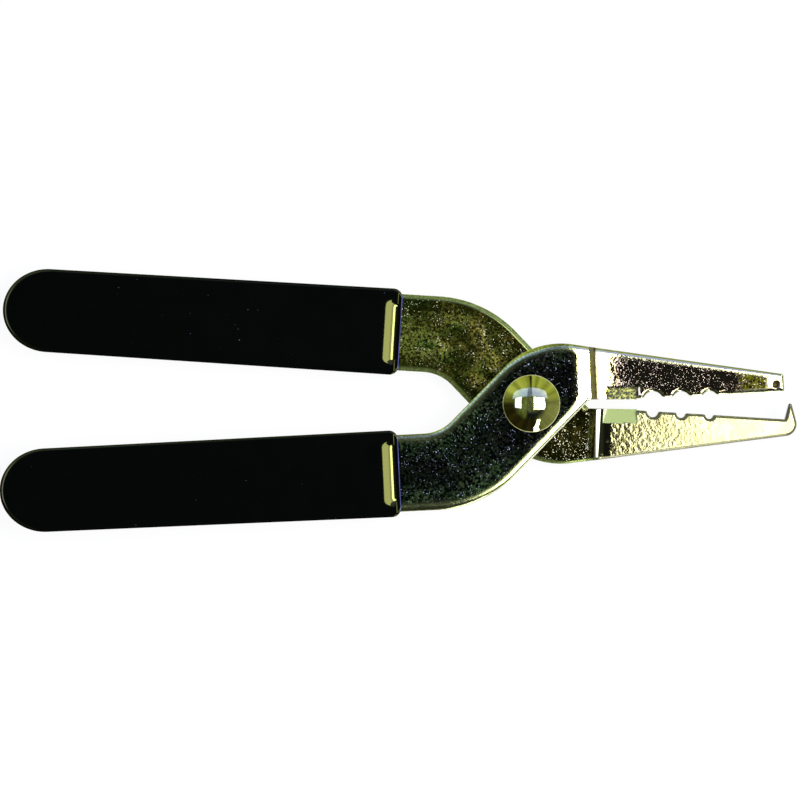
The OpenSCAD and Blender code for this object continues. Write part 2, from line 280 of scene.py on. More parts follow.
rearLook = dict(
    frontLook, grainScale=2700, pebbleScale=1300, mottleScale=170, bump=0.008,
    pebbleHeight=((12.4, 0.1), (13.2, 0.1), (14.2, 4.6), (24, 3.7), (36, 1.8)),
    darkTint=(0.012, 0.02, 0.001, 1), darkTint2=(0.03, 0.022, 0.002, 1),
    lightTint=(0.15, 0.25, 0.04, 1), lightTint2=(0.64, 0.60, 0.10, 1), hue=(-20, -4),
    # painted shade from the edge inwards: darker at the edges, lighter inside
    paintedShadeDepth=(0.9, 4.5), shadeLow=0.15, paintedShadeAtEdge=0.2, paintedShadeInside=1.0,
    hazeLow=0.32, haze=0.46, roughHigh=0.06, neck=(-8, 3), neckPaintedShade=0.2, neckHaze=0.5,
    jaw=(11.4, 11.6), pastJog=(12.6, 13), jawTint=(0.27, 0.255, 0.12, 1), jawTint2=(0.31, 0.30, 0.155, 1),
    jawRough=((13.2, 0.03), (14.6, 0.105), (25, 0.14)), tipWear=never, tipBright=never,
    speckScale=4600, speckTint=(0.80, 0.78, 0.50, 1), jawSpeckTint=(0.42, 0.32, 0.06, 1),
    speckLimit=((-8, 0.70), (3, 0.66), (9.4, 0.66), (9.8, 0.6), (10.3, 0.6), (10.5, 0.9), (13.2, 0.9),
                (14.4, 0.68), (40, 0.72)),
    rim=(0.3, 0.9), rimSpecks=0.8, rimHaze=0.3, rimRough=0.2,
    rimDark=(0.15, 0.20, 0.05, 1), rimTint=(0.40, 0.50, 0.15, 1), jawRimTint=(0.18, 0.18, 0.11, 1))


def platedSteel(name, look):
    material, n, surface, place = startMaterial(name)
    x = n.split(place)["X"]

    def zone(key):
        return n.ramp(x, look[key][0] * mm, look[key][1] * mm)

    def mark(label):
        return n.put("ShaderNodeAttribute", attribute_name=label).outputs["Fac"]

    def course(key):
        # a value that changes along the arm, through (x, value) knots
        knots = look[key]
        value = knots[0][1]
        for (start, _), (end, last) in zip(knots, knots[1:]):
            value = n.blend(n.ramp(x, start * mm, end * mm), value, last)
        return value

    def tint(share, a, b):
        return n.colour(share, look[a], look[b])

    neck, jaw, hueZone = zone("neck"), zone("jaw"), zone("hue")
    plating = n.group(grainGroup, {
        "Vector": place, "Grain Scale": look["grainScale"], "Pebble Scale": look["pebbleScale"],
        "Mottle Scale": look["mottleScale"]})
    specks = n.group(speckGroup, {
        "Vector": place, "Speck Scale": look["speckScale"], "Cluster": look["speckCluster"],
        "Threshold": course("speckLimit")})
    fine = plating["Grain"]
    ragged = n.sway(plating["Height"], look["rimRagged"])
    inner = n.ramp(n.plus(mark("edgeShare"), ragged), *look["rim"])
    # painted shade and light: the plate is drawn lighter or darker by how far in from its edge it lies
    middle = n.ramp(mark("edgeDistance"), *look["paintedShadeDepth"])
    ground, pocket, paintedHollowShade, burr = mark("groundFace"), mark("pocketFace"), mark("paintedHollowShade"), mark("burr")
    wear = n.less(zone("tipWear"), zone("tipBright"))
    wear = n.plus(wear, n.sway(plating["Pebble"], look["wearRagged"]))
    wear = n.ramp(wear, *look["wearEdge"])

    # colour: mottled plate with painted shade and light from its edges inwards and past the neck, then jaw,
    # worn tip, specks, rim and marked faces
    # along x the plate turns from one pair of tints to the other; on the rear arm this is painted shade,
    # drawing the plate darker towards the grip
    hue = n.blend(hueZone, n.times(plating["Hue"], look["hueShare"]), plating["Hue"])
    hue = n.plus(hue, n.times(hueZone, look["hueLift"]), clamp=True)
    dark, light = tint(hue, "darkTint", "darkTint2"), tint(hue, "lightTint", "lightTint2")
    shade = n.times(n.blend(plating["Shade"], look["shadeLow"], 1.0),
                    n.blend(middle, look["paintedShadeAtEdge"], look["paintedShadeInside"]))
    # painted shade: the plate drawn darker past the neck, from about the pivot towards the jaws
    shade = n.times(shade, n.blend(neck, 1.0, look["neckPaintedShade"]))
    plate = n.colour(fine, dark, n.colour(shade, dark, light))
    past = tint(plating["Hue"], "jawTint", "jawTint2")
    plate = n.colour(jaw, plate, n.colour(zone("pastJog"), look["jogTint"], past))
    plate = n.colour(wear, plate, tint(fine, "tipDark", "tipTint"))
    worn = n.times(specks["Mask"], n.blend(inner, look["rimSpecks"], 1.0))
    plate = n.colour(worn, plate, tint(jaw, "speckTint", "jawSpeckTint"))
    rim = n.colour(jaw, tint(fine, "rimDark", "rimTint"), look["jawRimTint"])
    plate = n.colour(inner, rim, plate)
    grit = n.math("POWER", fine, look["gritPower"])
    plate = n.colour(pocket, plate, tint(grit, "pocketDark", "pocketTint"))
    # marked faces: painted shade in the jog and the dimple, painted highlights along steep edges and on the
    # bevel's run-out, and the ground bevel
    for mask, key in ((paintedHollowShade, "paintedHollowShadeTint"), (burr, "paintedGlintTint"), (ground, "groundTint")):
        plate = n.colour(mask, plate, look[key])
    n.join(plate, surface, "Base Color")

    haze = n.blend(fine, look["hazeLow"], look["haze"])
    haze = n.times(haze, n.blend(neck, 1.0, look["neckHaze"]))
    for mask, key in ((jaw, "jawHaze"), (wear, "tipHaze"), (worn, "speckHaze")):
        haze = n.blend(mask, haze, look[key])
    haze = n.blend(inner, look["rimHaze"], haze)
    for mask, key in ((pocket, "pocketHaze"), (paintedHollowShade, "paintedHollowShadeHaze"), (burr, "paintedGlintHaze"),
                      (ground, "groundHaze")):
        haze = n.blend(mask, haze, look[key])
    n.join(n.less(1.0, haze), surface, "Metallic")

    rough = n.blend(fine, look["roughLow"], look["roughHigh"])
    rough = n.blend(jaw, rough, course("jawRough"))
    rough = n.blend(worn, rough, look["speckRough"])
    rough = n.blend(inner, look["rimRough"], rough)
    dull = n.most(n.most(ground, burr), n.most(pocket, paintedHollowShade))
    n.join(n.blend(dull, rough, look["groundRough"]), surface, "Roughness")

    pebbles = n.times(plating["Pebble"], course("pebbleHeight"))
    height = n.blend(jaw, plating["Height"], pebbles)
    height = n.times(height, n.less(1.0, dull))
    bumpSurface(n, surface, height, look["bump"])
    return material


frontSteel = platedSteel("platedSteelFront", frontLook)
rearSteel = platedSteel("platedSteelRear", rearLook)

rivetLook = dict(grainScale=2200.0, mottleScale=600.0, tint=(0.74, 0.76, 0.34, 1),
                 tint2=(0.82, 0.84, 0.46, 1), crown=(2.0, 0.9), crownLow=0.3,
                 crownTint=(0.50, 0.62, 0.05, 1), crownHaze=0.17, rough=(0.03, 0.07), bump=0.006)


def rivetSteelMaterial():
    look = rivetLook
    material, n, surface, place = startMaterial("rivetSteel")
    plating = n.group(grainGroup, {
        "Vector": place, "Grain Scale": look["grainScale"], "Mottle Scale": look["mottleScale"]})
    way = n.split(place)
    flat = n.put("ShaderNodeCombineXYZ", {"X": way["X"], "Y": way["Y"]}).outputs[0]
    radius = n.put("ShaderNodeVectorMath", {0: flat}, operation="LENGTH").outputs["Value"]
    crown = n.ramp(radius, look["crown"][0] * mm, look["crown"][1] * mm)
    crown = n.times(crown, n.blend(plating["Grain"], look["crownLow"], 1.0))
    tint = n.colour(plating["Shade"], look["tint"], look["tint2"])
    n.join(n.colour(crown, tint, look["crownTint"]), surface, "Base Color")
    n.join(n.blend(plating["Shade"], *look["rough"]), surface, "Roughness")
    haze = n.times(crown, look["crownHaze"])
    n.join(n.less(1.0, haze), surface, "Metallic")
    bumpSurface(n, surface, plating["Height"], look["bump"])
    return material


rivetSteel = rivetSteelMaterial()

vinylLook = dict(speckScale=1900.0, speckLimit=0.805, speckCluster=0.15, speckTint=(0.11, 0.12, 0.22, 1),
                 waveScale=260.0, waveDetail=2.0, skin=(0.0010, 0.0014, 0.0013, 1),
                 skin2=(0.0017, 0.0021, 0.0020, 1), lipPaintedGlint=(0.24, 0.26, 0.72, 1), rough=(0.05, 0.08),
                 gloss=0.62, glossTint=(0.94, 1.0, 0.30, 1), bump=0.004)


def dippedVinylMaterial():
    look = vinylLook
    material, n, surface, place = startMaterial("dippedVinyl")
    specks = n.group(speckGroup, {
        "Vector": place, "Speck Scale": look["speckScale"], "Threshold": look["speckLimit"],
        "Cluster": look["speckCluster"]})
    lip = n.put("ShaderNodeAttribute", attribute_name="lipEdge").outputs["Fac"]
    wave = n.noise(place, look["waveScale"], look["waveDetail"])
    skin = n.colour(wave, look["skin"], look["skin2"])
    skin = n.colour(specks["Mask"], skin, look["speckTint"])
    # painted reflection: a thin bluish line along the grip's open end
    skin = n.colour(n.times(lip, wave), skin, look["lipPaintedGlint"])
    n.join(skin, surface, "Base Color")
    n.join(n.blend(wave, *look["rough"]), surface, "Roughness")
    surface.inputs["Specular IOR Level"].default_value = look["gloss"]
    surface.inputs["Specular Tint"].default_value = look["glossTint"]
    bumpSurface(n, surface, wave, look["bump"])
    return material


dippedVinyl = dippedVinylMaterial()
print("materials ready")


# the two stamped arms

# lengths in mm, angles in degrees; worn edges and fine mesh reach edgeIn and fineIn into the grip
arm = dict(thick=2.5, gap=0.05, handleWidth=13.5, handleOffset=11.15, handleLen=93.15, bendIn=7.5,
           bendOut=20.3, shankAngle=43, shankOuter=7.85, shankInner=6.85, shoulder=14, jogX=10.8, jogLen=1.2,
           jawRoot=9.25, taper=10.7, jawLen=44.6, tipRound=0.25, bite=0.05, bore=3.05, boreSides=48,
           gripX=-23.7, edgeIn=1.5, fineIn=2.0)
cutter = dict(x=13.6, length=5.15, overlap=0.2, rake=2.6, reliefHeight=2.0, bevelHeight=2.6, run=0.8,
              edge=0.2, clear=0.06, endClear=0.2, wall=0.03, lineStart=0.4, lineEnd=0.01, rampNear=0.02,
              brim=((0, 1), (0.03, 0.16), (0.24, 0.08), (0.45, 0)))     # (distance outside, how far sunk)
notch = dict(x=21.5, pitch=5.0, anvilRadius=(1.75, 1.6, 1.35), anvilDepth=(1.1, 0.85, 0.7), anvilMouth=0.8,
             crimpRadius=(1.0, 0.8, 0.7), crimpDepth=(1.05, 0.88, 0.76), crimpMouth=0.35, blend=1.2)
hook = dict(clear=0.3, rise=2.8, lean=11, pointRound=0.28, heelRound=2.1, thick=2.1)
dimple = dict(inset=1.4, height=1.25, radius=0.75, depth=0.25, rings=(0.35, 0.7, 1.0, 1.15), sides=24)
# edges left by stamping and tumbling: (distance from the edge, slope in degrees), from the edge inwards
frontEdges = dict(
    plate=((0, 44), (0.08, 42), (0.14, 30), (0.45, 15), (1.0, 6), (2.0, 0)),
    plateLow=((0, 60), (0.2, 52), (0.28, 34), (0.46, 10), (0.9, 4.5), (1.9, 0)),
    shoulder=((0, 44), (0.1, 40), (0.3, 34), (0.9, 18), (1.4, 6), (2.2, 0)),
    jaw=((0, 44), (0.1, 42), (0.18, 32), (0.55, 14), (0.95, 6), (1.8, 0)),
    jawTip=((0, 44), (0.12, 42), (0.18, 32), (0.4, 14), (0.6, 6), (1.1, 0)),
    bite=((0, 44), (0.12, 42), (0.2, 30), (0.35, 20), (0.5, 8), (0.7, 0)),
    biteTip=((0, 43), (0.04, 38), (0.1, 30), (0.3, 23), (0.62, 14), (0.8, 0)),
    blade=((0, 40), (0.03, 40), (0.06, 30), (0.08, 20), (0.1, 10), (0.15, 0)),
    hidden=((0, 5), (0.1, 4), (0.2, 3), (0.4, 2), (0.6, 1), (0.8, 0)))
rearPlate = ((0, 44), (0.12, 42), (0.2, 32), (0.6, 16), (0.8, 5), (1.1, 0))
rearBite = ((0, 44), (0.25, 43), (0.37, 37), (0.45, 10), (0.53, 2), (0.7, 0))
rearEdges = dict(frontEdges, plate=rearPlate, plateLow=rearPlate, shoulder=rearPlate, jaw=rearBite,
                 jawTip=rearBite, bite=rearBite, biteTip=rearBite)
paintedGlintEdge = dict(slope=44, span=16, reach=0.21)     # an edge steeper than this slope carries a painted highlight, a pale line for the glint of its burr
spacing = dict(fine=0.22, plate=0.36, hidden=2.5, notch=0.11, tip=0.06, bladeEnd=0.1, cut=0.3, fill=0.85,
               lastRing=0.12)
# slopes along each face, (x, degrees): in the jog the outside of a bend is round and the inside is sharp
upperJog = ((7.0, 0), (7.9, 1.7), (8.9, 3.6), (10.5, 13), (10.6, 60), (11.5, 60), (11.6, 9.5), (12.6, 5.5),
            (13.8, 2.8), (14.6, 1.1), (16.0, 0))
lowerJog = ((10.5, 0), (10.6, 60), (11.5, 50), (11.6, 26), (12.35, 17.5), (12.45, 0), (14.0, 0))
# and past the jog, along the jaw
frontLean = ((16.0, -0.7), (41.2, -0.7), (41.8, 0.6), (48.0, 0.7))
rearLean = dict(shown=((14.0, -1.22), (48.0, -1.22)), back=((17.0, 0), (48.0, 0)))
jogRows = (8.4, 9.4, 9.9, 12.0, 12.3, 13.7)     # further rows of points across the bends
# painted shade in the upper face's jog, (x, share)
jogPaintedShade = ((10.5, 0), (10.6, 0.78), (11.4, 0.78), (11.5, 1), (11.7, 1), (12.1, 0))


class Trace:
    # outline points, each with its kind of edge; a pair of kinds turns from one into the other,
    # and step names the spacing of the points
    def __init__(self, edges):
        self.points, self.rolls, self.edges = [], [], edges

    def add(self, point, kind, share):
        first, last = kind if isinstance(kind, tuple) else (kind, kind)
        a, b = np.array(self.edges[first], float), np.array(self.edges[last], float)
        self.points.append(tuple(point))
        self.rolls.append(a + (b - a) * share)

    def line(self, p, q, kind, step):
        count = max(1, int(round(math.dist(p, q) / spacing[step])))
        for i in range(count):
            self.add(np.array(p) + np.subtract(q, p) * i / count, kind, i / count)

    def arc(self, centre, r, a, b, kind, step):
        count = max(3, int(round(abs(math.radians(b - a)) * r / spacing[step])))
        for i in range(count):
            self.add(np.array(centre) + along(a + (b - a) * i / count) * r, kind, i / count)


def traceNotches(trace, start, end, radii, depths, mouth):
    bite = arm["bite"]
    here = np.array([start, bite])
    for i, (r, depth) in enumerate(zip(radii, depths)):
        middle = np.array([notch["x"] + i * notch["pitch"], bite])
        centre = middle + (0, depth - r)
        rise = mouth - (depth - r)
        half = math.sqrt((r + mouth) ** 2 - rise ** 2)
        slope = math.degrees(math.atan2(rise, half))
        trace.line(here, middle - (half, 0), "bite", "fine")
        trace.arc(middle + (-half, mouth), mouth, -90, -slope, "bite", "notch")
        trace.arc(centre, r, 180 - slope, slope, "bite", "notch")
        trace.arc(middle + (half, mouth), mouth, 180 + slope, 270, "bite", "notch")
        here = middle + (half, 0)
    blended = here + (notch["blend"], 0)
    trace.line(here, blended, ("bite", "biteTip"), "fine")
    trace.line(blended, (end, bite), "biteTip", "fine")


def armOutline(hooked):
    a = arm
    bite, taper, shank = a["bite"], a["taper"], a["shankAngle"]
    handleTop = np.array([0, a["handleWidth"] / 2 - a["handleOffset"]])
    handleLow = np.array([0, -a["handleWidth"] / 2 - a["handleOffset"]])
    shankTop = across(shank) * a["shankOuter"]
    shankLow = -across(shank) * a["shankInner"]
    jawBack = np.array([a["jogX"] + a["jogLen"], a["jawRoot"]])
    up = across(shank)
    bendIn = crossing(handleTop + (0, a["bendIn"]), 0, shankTop + up * a["bendIn"], shank)
    bendOut = crossing(handleLow + (0, a["bendOut"]), 0, shankLow + up * a["bendOut"], shank)
    backOut = across(-taper)
    shoulder = crossing(shankTop - up * a["shoulder"], shank, jawBack - backOut * a["shoulder"], -taper)
    butt = np.array([a["handleWidth"] / 2 - a["handleLen"], -a["handleOffset"]])
    bladeEnd = np.array([cutter["x"] + cutter["length"], bite - cutter["overlap"]])
    throat = crossing(shankLow, shank, bladeEnd, -cutter["rake"])

    def backAt(x):
        return jawBack[1] - (x - jawBack[0]) * math.tan(math.radians(taper))

    t = Trace(rearEdges if hooked else frontEdges)
    gripEnd = np.array([a["gripX"] - a["edgeIn"], 0])
    t.line((butt[0], handleLow[1]), gripEnd + handleLow, "hidden", "hidden")
    t.line(gripEnd + handleLow, (bendOut[0], handleLow[1]), "plate", "plate")
    t.arc(bendOut, a["bendOut"], -90, shank - 90, ("plate", "plateLow"), "plate")
    t.line(bendOut - up * a["bendOut"], throat, "plateLow", "plate")
    t.line(throat, bladeEnd, "blade", "fine")
    t.line(bladeEnd, (bladeEnd[0], bite), "blade", "bladeEnd")
    if hooked:
        root = np.array([a["jawLen"] + hook["clear"], bite])
        traceNotches(t, bladeEnd[0], root[0], notch["crimpRadius"], notch["crimpDepth"], notch["crimpMouth"])
        pointRound, heelRound = hook["pointRound"], hook["heelRound"]
        lean = math.radians(hook["lean"])
        reach = hook["rise"] - pointRound
        point = root + (reach * math.tan(lean) + pointRound / math.cos(lean), -reach - bite)
        heelX = root[0] + hook["thick"] - heelRound
        heel = np.array([heelX, backAt(heelX) - heelRound / math.cos(math.radians(taper))])
        toPoint = point - heel
        flank = math.degrees(math.atan2(toPoint[1], toPoint[0])
                             + math.acos((heelRound - pointRound) / np.linalg.norm(toPoint)))
        t.line(root, point + along(180 + hook["lean"]) * pointRound, "bite", "fine")
        t.arc(point, pointRound, 180 + hook["lean"], 360 + flank, "bite", "tip")
        t.line(point + along(flank) * pointRound, heel + along(flank) * heelRound, "bite", "fine")
        t.arc(heel, heelRound, flank, 90 - taper, "jaw", "fine")
        backStart = heel + backOut * heelRound
    else:
        r = a["tipRound"]
        tipX = a["jawLen"] - r
        traceNotches(t, bladeEnd[0], tipX, notch["anvilRadius"], notch["anvilDepth"], notch["anvilMouth"])
        t.arc((tipX, bite + r), r, -90, 0, "bite", "tip")
        top = np.array([tipX, backAt(tipX) - r / math.cos(math.radians(taper))])
        t.line((a["jawLen"], bite + r), (a["jawLen"], top[1]), "bite", "fine")
        t.arc(top, r, 0, 90 - taper, "bite", "tip")
        backStart = top + backOut * r
    t.line(backStart, shoulder + backOut * a["shoulder"], ("jawTip", "jaw"), "fine")
    crest = 90 + (shank - taper) / 2
    t.arc(shoulder, a["shoulder"], 90 - taper, crest, ("jaw", "shoulder"), "plate")
    t.arc(shoulder, a["shoulder"], crest, 90 + shank, ("shoulder", "plate"), "plate")
    t.line(shoulder + up * a["shoulder"], bendIn - up * a["bendIn"], "plate", "plate")
    t.arc(bendIn, a["bendIn"], shank - 90, -90, "plate", "plate")
    t.line((bendIn[0], handleTop[1]), gripEnd + handleTop, "plate", "plate")
    t.line(gripEnd + handleTop, (butt[0], handleTop[1]), "hidden", "hidden")
    t.arc(butt, a["handleWidth"] / 2, 90, 270, "hidden", "hidden")
    return np.array(t.points), np.array(t.rolls)


def insidePolygon(points, polygon):
    x, y = points[:, 0][:, None], points[:, 1][:, None]
    x0, y0 = polygon[:, 0], polygon[:, 1]
    x1, y1 = np.roll(x0, -1), np.roll(y0, -1)
    with np.errstate(divide="ignore", invalid="ignore"):
        hits = ((y0 > y) != (y1 > y)) & (x < (x1 - x0) * (y - y0) / (y1 - y0) + x0)
    return hits.sum(axis=1) % 2 == 1


def through(x, knots):
    # value at x on straight lines through (x, value) knots
    return np.interp(x, [p[0] for p in knots], [p[1] for p in knots])


def faceDrop(x, bends, lean):
    # how far a face lies below the flat plate at x: the steep part is fitted to the whole jog
    step, lead, reach, steepRise = 0.02, 0.5, 50, 0.6
    stations = np.arange(bends[0][0] - lead, reach, step)
    rise = np.tan(np.radians(through(stations, bends)))
    steep = rise > steepRise
    total = (arm["thick"] + arm["gap"]) / 2
    rise[steep] *= (total - np.sum(rise[~steep]) * step) / (np.sum(rise[steep]) * step)
    past = stations > bends[-1][0]
    rise[past] = np.tan(np.radians(through(stations[past], lean)))
    return np.interp(x, stations, np.cumsum(rise) * step)


def outlineTree(outline, step=0.05):
    spans = np.roll(outline, -1, axis=0) - outline
    samples = []
    for i, (p, span) in enumerate(zip(outline, spans)):
        count = max(1, int(np.linalg.norm(span) / step))
        samples += [(p + span * k / count, i) for k in range(count)]
    tree = KDTree(len(samples))
    for p, i in samples:
        tree.insert((p[0], p[1], 0), i)
    tree.balance()
    return tree


def plateRings(outline, rolls, tree):
    # lines that follow the outline inwards, close together over the corner
    ahead = np.roll(outline, -1, axis=0) - np.roll(outline, 1, axis=0)
    ahead /= np.linalg.norm(ahead, axis=1)[:, None]
    inward = np.stack([-ahead[:, 1], ahead[:, 0]], axis=1)
    shown = outline[:, 0] > arm["gripX"] - arm["fineIn"]
    steps = rolls[:, :, 0].T
    nearest = 0.97     # a point that has come closer to another stretch of the edge is left out
    lines = []
    for depth in (*steps[1:], *((steps[2:-1] + steps[3:]) / 2), steps[-1] + spacing["lastRing"]):
        moved = outline + inward * depth[:, None]
        good = shown & insidePolygon(moved, outline)
        good &= [tree.find((p[0], p[1], 0))[2] > d * nearest for p, d in zip(moved, depth)]
        for i in np.flatnonzero(good):
            k = (i + 1) % len(moved)
            if good[k] and math.dist(moved[i], moved[k]) < 2 * spacing["plate"]:
                lines.append((moved[i], moved[k]))
    return lines


def fillPoints(outline, rolls, tree):
    # a triangle grid over the flat of the plate, clear of the worn edges and the bore
    step = spacing["fill"]
    rowShare, rollShare = 0.87, 1.05
    xs = np.arange(arm["gripX"] - arm["fineIn"], outline[:, 0].max(), step)
    ys = np.arange(outline[:, 1].min(), outline[:, 1].max(), step * rowShare)
    grid = np.array([(x + (k % 2) * step / 2, y) for k, y in enumerate(ys) for x in xs])
    grid = grid[insidePolygon(grid, outline)]
    kept = []
    for p in grid:
        _, k, distance = tree.find((p[0], p[1], 0))
        inPlate = distance > rolls[k, -1, 0] * rollShare + step * 0.5
        if inPlate and np.linalg.norm(p) > arm["bore"] + step * 0.5:
            kept.append(p)
    return kept


def edgeDrop(distance, edge):
    # how far the face has fallen at a distance from the edge
    stations = np.linspace(0, edge[-1, 0], 60)
    slope = np.tan(np.radians(np.interp(stations, edge[:, 0], edge[:, 1])))
    fallen = np.concatenate([[0], np.cumsum((slope[1:] + slope[:-1]) / 2 * np.diff(stations))])
    return np.interp(distance, stations, fallen[-1] - fallen)


def cutLines():
    # lines in the plan along the walls and brims of the cutter's pocket and ground bevel
    c = cutter
    end = c["x"] + c["length"]
    boxes = [(c["x"], end + c["endClear"], c["reliefHeight"], grow) for grow, _ in c["brim"]]
    boxes += [(c["x"] - c["run"], end, c["bevelHeight"], grow) for grow in (0, c["wall"])]
    lines = [((c["x"] + gap, -c["overlap"]), (c["x"] - c["run"] + gap, c["bevelHeight"]))
             for gap in (0, c["wall"])]
    for x0, x1, y1, grow in boxes:
        corners = [(x0 - grow, c["lineStart"]), (x0 - grow, y1 + grow), (x1 + grow, y1 + grow),
                   (x1 + grow, arm["bite"] + c["lineEnd"])]
        lines += list(zip(corners[:-1], corners[1:]))
    return lines


def dimpleCentre():
    return np.array([arm["jawLen"] - dimple["inset"], arm["bite"] + dimple["height"]])


def dimpleLines():
    lines, sides = [], dimple["sides"]
    for share in dimple["rings"]:
        reach = dimple["radius"] * share
        loop = [dimpleCentre() + along(i * 360 / sides) * reach for i in range(sides + 1)]
        lines += list(zip(loop[:-1], loop[1:]))
    return lines


def dimpleDepth(plan):
    share = np.hypot(*(plan - dimpleCentre()).T) / dimple["radius"]
    return dimple["depth"] * np.clip(1 - share ** 2, 0, 1)


def beyondBox(plan, x0, x1, y1):
    # how far a point lies outside a box that is open downwards, 0 inside it
    past = np.maximum(np.maximum(x0 - plan[:, 0], plan[:, 0] - x1), plan[:, 1] - y1)
    return np.maximum(past, 0)


def jogLines(outline):
    # rows of points straight across the arm where its faces change slope
    rows = sorted({p[0] for p in upperJog + lowerJog + frontLean} | set(jogRows))
    inset = 0.05
    ys = np.arange(outline[:, 1].min() + inset, outline[:, 1].max(), spacing["plate"])
    lines = []
    for x in rows:
        spots = np.column_stack([np.full(len(ys), x), ys])
        inside = insidePolygon(spots, outline)
        lines += [(spots[k], spots[k + 1]) for k in range(len(ys) - 1) if inside[k] and inside[k + 1]]
    return lines


def buildArm(name, hooked, material, body, node):
    outline, rolls = armOutline(hooked)
    tree = outlineTree(outline)
    boreCount = arm["boreSides"]
    boreLoop = np.array([along(i * 360 / boreCount) * arm["bore"] for i in range(boreCount)])
    points = [tuple(p) for p in outline] + [tuple(p) for p in boreLoop]
    n = len(outline)
    edges = [(i, (i + 1) % n) for i in range(n)]
    edges += [(n + i, n + (i + 1) % boreCount) for i in range(boreCount)]
    lines = cutLines() + jogLines(outline) + plateRings(outline, rolls, tree)
    if not hooked:
        lines += dimpleLines()
    for p, q in lines:
        count = max(1, int(math.dist(p, q) / spacing["cut"]))
        first = len(points)
        points += [tuple(np.array(p) + np.subtract(q, p) * k / count) for k in range(count + 1)]
        edges += [(first + k, first + k + 1) for k in range(count)]
    points += [tuple(p) for p in fillPoints(outline, rolls, tree)]
    flat, _, triangles, _, _, _ = delaunay_2d_cdt([Vector(p) for p in points], edges, [], 0, tiny, True)
    plan = np.array([tuple(p) for p in flat])
    triangles = np.array([tuple(f) for f in triangles])
    centres = plan[triangles].mean(axis=1)
    keep = insidePolygon(centres, outline) & ~insidePolygon(centres, boreLoop)
    triangles = triangles[keep]

    # heights of both faces
    depth, rolled, width, burr, nowhere = np.zeros((5, len(plan)))
    for i, p in enumerate(plan):
        _, k, depth[i] = tree.find((p[0], p[1], 0))
        rolled[i] = edgeDrop(depth[i], rolls[k])
        width[i] = rolls[k][-1, 0]
        # painted highlight: a pale dull line just inside the steeper edges
        if depth[i] < paintedGlintEdge["reach"]:
            burr[i] = max(rolls[k][0, 1] - paintedGlintEdge["slope"], 0) / paintedGlintEdge["span"]
    topLean = rearLean["back"] if hooked else frontLean
    lowLean = rearLean["shown"] if hooked else frontLean
    top = arm["gap"] / 2 + arm["thick"] - faceDrop(plan[:, 0], upperJog, topLean) - rolled
    low = arm["gap"] / 2 - faceDrop(plan[:, 0], lowerJog, lowLean) + rolled
    dent = nowhere if hooked else dimpleDepth(plan)
    top -= dent
    c = cutter
    past = beyondBox(plan, c["x"], c["x"] + c["length"] + c["endClear"], c["reliefHeight"])
    floor = -c["clear"] / 2
    sunk = through(past, c["brim"])
    pocket = past < tiny
    top = np.where(pocket, np.minimum(top, floor), top - np.where(sunk < 1, sunk, 0))
    start = c["x"] - c["run"]
    past = beyondBox(plan, start, c["x"] + c["length"], c["bevelHeight"])
    edgeZ = floor - c["edge"]
    outer = -arm["thick"] / 2
    bevel = edgeZ - (plan[:, 1] + c["overlap"]) * (edgeZ - outer) / (c["bevelHeight"] + c["overlap"])
    runOut = outer + (plan[:, 0] - start) * (edgeZ - outer) / c["run"]
    cutZ = np.minimum(np.minimum(bevel, edgeZ), runOut)
    ground = (past < c["wall"] / 2) & (cutZ > low)
    low = np.where(ground, cutZ, low)
    # the ground bevel's run-out ramp gets the same painted highlight
    ramp = ground & (bevel >= runOut - c["rampNear"])
    ground &= ~ramp
    # painted shade, drawn as a dark dull colour, in the dimple's hollow and across the upper face's jog
    paintedHollowShade = np.maximum(np.clip(dent / dimple["depth"] * 2, 0, 1), through(plan[:, 0], jogPaintedShade))

    # one closed mesh: upper face, lower face and the walls between their borders
    count = len(plan)
    solid = np.concatenate([np.column_stack([plan, top]), np.column_stack([plan, low])])
    faces = [tuple(f) for f in triangles] + [tuple(f[::-1] + count) for f in triangles]
    border = {}
    for f in triangles:
        for a, b in ((f[0], f[1]), (f[1], f[2]), (f[2], f[0])):
            border[(a, b)] = border.get((a, b), 0) + 1
    for a, b in border:
        if (b, a) not in border:
            faces.append((b, a, a + count, b + count))
    used = np.unique(np.concatenate([np.array(f) for f in faces]))
    renumber = np.full(len(solid), -1)
    renumber[used] = np.arange(len(used))
    faces = [tuple(int(renumber[i]) for i in f) for f in faces]
    piece = addPiece(name, intoFrame(solid[used], hooked), faces, material)
    share = depth / width
    marks = dict(edgeDistance=(depth, depth), edgeShare=(share, share), groundFace=(nowhere, ground),
                 pocketFace=(pocket, nowhere), burr=(burr, ramp), paintedHollowShade=(paintedHollowShade, nowhere))
    for label, (upper, lower) in marks.items():
        markPoints(piece, label, np.concatenate([upper, lower])[used])
    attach(piece, body)
    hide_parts(node)
    print(name, len(piece.data.vertices), "vertices")


buildArm("frontArm", False, frontSteel, "front_half", "front_arm")
buildArm("rearArm", True, rearSteel, "rear_half", "rear_arm")


# rivet and washer, turned round the pivot

def lathe(name, profile, material, body, node, segments=96):
    # a profile of (radius, height) points, from the axis and back to it or round to its own start
    points, rows = [], []
    for r, z in profile:
        if rows and (r, z) == profile[0]:
            rows.append(rows[0])
        elif r < tiny:
            rows.append([len(points)] * segments)
            points.append((0, 0, z * mm))
        else:
            rows.append(list(range(len(points), len(points) + segments)))
            points += [(*(along(i * 360 / segments) * r * mm), z * mm) for i in range(segments)]
    faces = []
    for low, high in zip(rows, rows[1:]):
        for i in range(segments):
            ring = [low[i], low[(i + 1) % segments], high[(i + 1) % segments], high[i]]
            ring = [v for k, v in enumerate(ring) if v not in ring[:k]]
            if len(ring) > 2:
                faces.append(ring)
    piece = addPiece(name, points, faces, material)
    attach(piece, body)
    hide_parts(node)
    print(name, len(points), "vertices")


